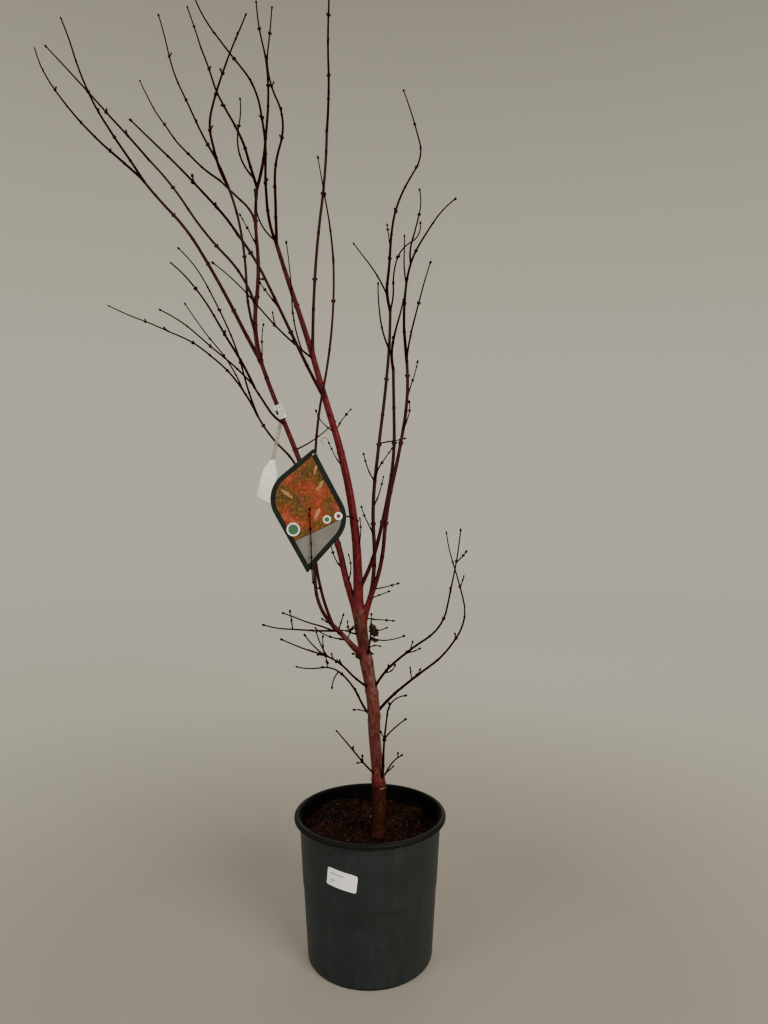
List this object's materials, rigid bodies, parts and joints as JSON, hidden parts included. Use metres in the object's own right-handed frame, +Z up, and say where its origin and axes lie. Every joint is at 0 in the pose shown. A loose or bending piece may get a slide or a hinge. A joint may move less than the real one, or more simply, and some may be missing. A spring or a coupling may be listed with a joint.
{
  "type": "potted japanese maple",
  "caption": "Young bare Japanese maple with a tapering leaning trunk, long red whips from a low fork and fine twigs, in a round nursery pot with a hanging tag.",
  "frame": {"origin": "middle of the pot's underside, on the ground", "axes": "+Z up, +Y away from the plant's front, +X to the right as the front is faced"},
  "size_m": [0.7779, 0.4792, 1.5756],
  "materials": {
    "pot": "matt black moulded plastic",
    "potting_mix": "moist bark and fibre",
    "trunk_bark": "red-brown bark with grey streaks",
    "bough_bark": "smooth coral-red bark",
    "twig_bark": "dark red-brown twigs with buds",
    "tag_board": "satin printed board",
    "tag_tie": "grey",
    "label_film": "white film"
  },
  "bodies": {
    "root": {"bough_centre": "bough_bark", "bough_centre_left": "bough_bark", "bough_front": "bough_bark", "bough_front_left": "bough_bark", "bough_front_whip": "bough_bark", "bough_leader": "bough_bark", "bough_left": "bough_bark", "bough_left_back": "bough_bark", "bough_left_far": "bough_bark", "bough_left_inner": "bough_bark", "bough_left_mid": "bough_bark", "bough_left_outer": "bough_bark", "bough_left_upper": "bough_bark", "bough_right": "bough_bark", "bough_right_back": "bough_bark", "bough_right_front": "bough_bark", "bough_right_outer": "bough_bark", "hanging_tag": "tag_board", "pot": "pot", "pot_sticker": "label_film", "potting_mix": "potting_mix", "stem_label": "label_film", "stem_label_tail": "label_film", "tag_tie": "tag_tie", "trunk": "trunk_bark", "twigs_centre_left": "twig_bark", "twigs_centre_left_fork": "twig_bark", "twigs_centre_low": "twig_bark", "twigs_centre_right_fork": "twig_bark", "twigs_collar_right": "twig_bark", "twigs_front_left_a": "twig_bark", "twigs_front_left_b": "twig_bark", "twigs_front_low": "twig_bark", "twigs_front_whip": "twig_bark", "twigs_leader": "twig_bark", "twigs_left_back": "twig_bark", "twigs_left_far": "twig_bark", "twigs_left_inner_a": "twig_bark", "twigs_left_inner_b": "twig_bark", "twigs_left_low": "twig_bark", "twigs_left_mid": "twig_bark", "twigs_left_outer_a": "twig_bark", "twigs_left_outer_b": "twig_bark", "twigs_left_upper_a": "twig_bark", "twigs_left_upper_b": "twig_bark", "twigs_low_left_a": "twig_bark", "twigs_low_left_b": "twig_bark", "twigs_low_left_c": "twig_bark", "twigs_low_right_a": "twig_bark", "twigs_low_right_b": "twig_bark", "twigs_low_right_c": "twig_bark", "twigs_low_upright": "twig_bark", "twigs_right_back": "twig_bark", "twigs_right_front": "twig_bark", "twigs_right_outer": "twig_bark"}
  },
  "joints": []
}
